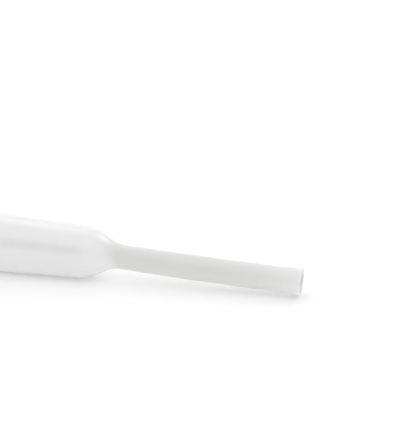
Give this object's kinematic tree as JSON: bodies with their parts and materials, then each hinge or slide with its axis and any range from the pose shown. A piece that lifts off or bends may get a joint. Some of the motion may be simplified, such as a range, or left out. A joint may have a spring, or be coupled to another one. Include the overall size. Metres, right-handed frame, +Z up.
{
  "type": "heat shrink tube",
  "caption": "Milky heat shrink tube shrunk at one end: a wide thin-walled sleeve, a soft shoulder and a narrow thick-walled recovered section, both ends cut square.",
  "frame": {"origin": "bottom centre of the part's bounding box, on the ground under the middle of the tube", "axes": "+X along the tube from the wide expanded end to the narrow recovered end, +Y across it, +Z up as it lies on its wide part"},
  "size_m": [0.1526, 0.02, 0.02],
  "materials": {
    "milky_polyolefin": "satin milky plastic, cloudy and slightly see-through where the wall is thin, denser where it has shrunk"
  },
  "bodies": {
    "root": {"heat_shrink_tube": "milky_polyolefin"}
  },
  "joints": []
}
